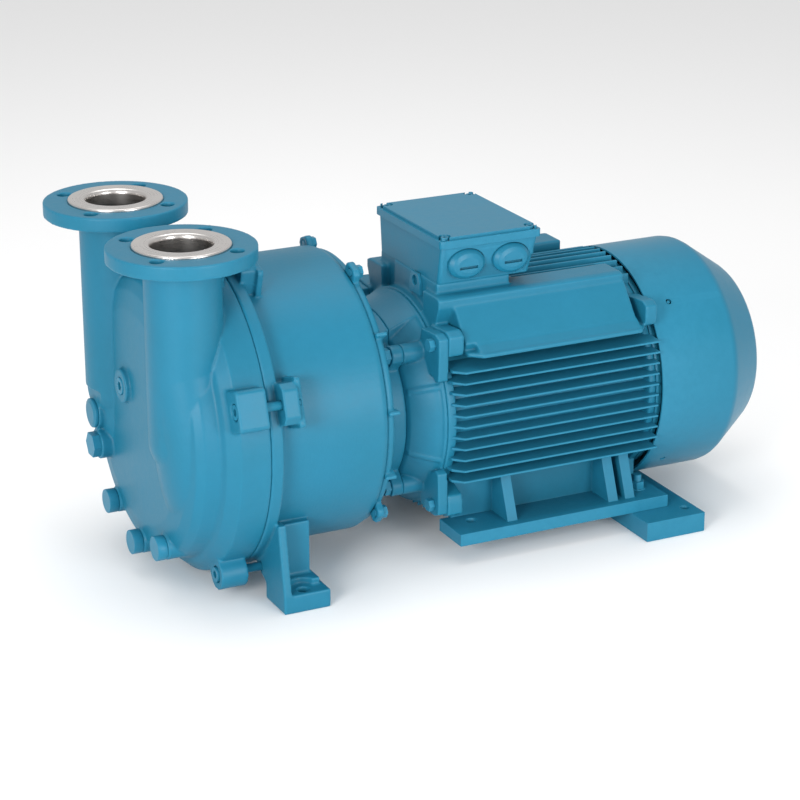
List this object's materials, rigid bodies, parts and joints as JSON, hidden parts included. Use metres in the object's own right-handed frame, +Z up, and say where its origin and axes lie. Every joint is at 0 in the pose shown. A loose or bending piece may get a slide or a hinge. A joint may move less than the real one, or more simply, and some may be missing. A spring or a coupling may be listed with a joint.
{
  "type": "liquid ring vacuum pump",
  "caption": "Close coupled liquid ring vacuum pump: dished front cover with upright flanged ports, round casing on feet and a finned foot mounted motor.",
  "frame": {"origin": "on the floor, midway between the two holes of the pump feet", "axes": "+X along the shaft from the pump to the motor, +Z up along the port flanges, -Y toward the side with the cable entries"},
  "size_m": [0.9344, 0.4552, 0.473],
  "materials": {
    "blue_paint": "semi-gloss blue machine paint",
    "stainless_ring": "turned stainless steel",
    "rubber": "matt black rubber",
    "spring_steel": "drawn stainless wire",
    "plastic": "white fluoroplastic sheet",
    "cast_stainless": "ground stainless steel",
    "bronze": "machined bronze casting",
    "machined_steel": "turned and ground steel",
    "ceramic": "lapped ceramic",
    "carbon": "lapped carbon",
    "lamination": "stacked electrical steel",
    "copper": "varnished copper wire",
    "black_plastic": "moulded plastic"
  },
  "bodies": {
    "housing": {"bearing_drive_outer": "machined_steel", "bearing_rear_outer": "machined_steel", "blanking_plugs": "blue_paint", "casing_body": "blue_paint", "cover_seal": "rubber", "cowl_screws": "blue_paint", "discharge_port_ring": "stainless_ring", "drain_plugs": "blue_paint", "drive_cover": "blue_paint", "drive_cover_bolts": "blue_paint", "drive_cover_seal": "rubber", "drive_end_shield": "blue_paint", "fan_cowl": "blue_paint", "foot_bolts": "blue_paint", "foot_nuts": "blue_paint", "front_cover": "blue_paint", "hex_plug": "blue_paint", "lid_gasket": "rubber", "lid_screws": "blue_paint", "lifting_lug": "blue_paint", "motor_foot_far": "blue_paint", "motor_foot_near": "blue_paint", "motor_frame": "blue_paint", "neck_bolts": "blue_paint", "port_plate": "cast_stainless", "rear_end_shield": "blue_paint", "round_plug": "blue_paint", "seal_seat": "ceramic", "shield_bolts": "blue_paint", "socket_plug": "blue_paint", "sole_bar": "blue_paint", "stator_core": "lamination", "stator_windings": "copper", "suction_port_ring": "stainless_ring", "terminal_board": "black_plastic", "terminal_box": "blue_paint", "terminal_box_lid": "blue_paint", "tie_bolts": "blue_paint", "valve_plate": "plastic"},
    "rotor": {"bearing_drive_balls": "machined_steel", "bearing_drive_inner": "machined_steel", "bearing_rear_balls": "machined_steel", "bearing_rear_inner": "machined_steel", "fan": "black_plastic", "fan_clip": "machined_steel", "impeller": "bronze", "impeller_key": "machined_steel", "impeller_nut": "machined_steel", "motor_shaft": "machined_steel", "rotor_core": "lamination", "seal_ring": "carbon", "seal_spring": "spring_steel"}
  },
  "joints": [
    {"name": "rotor_spin", "type": "hinge", "parent": "housing", "child": "rotor", "pos_m": [0.3, 0, 0.187], "axis": [1, 0, 0], "continuous": true}
  ]
}
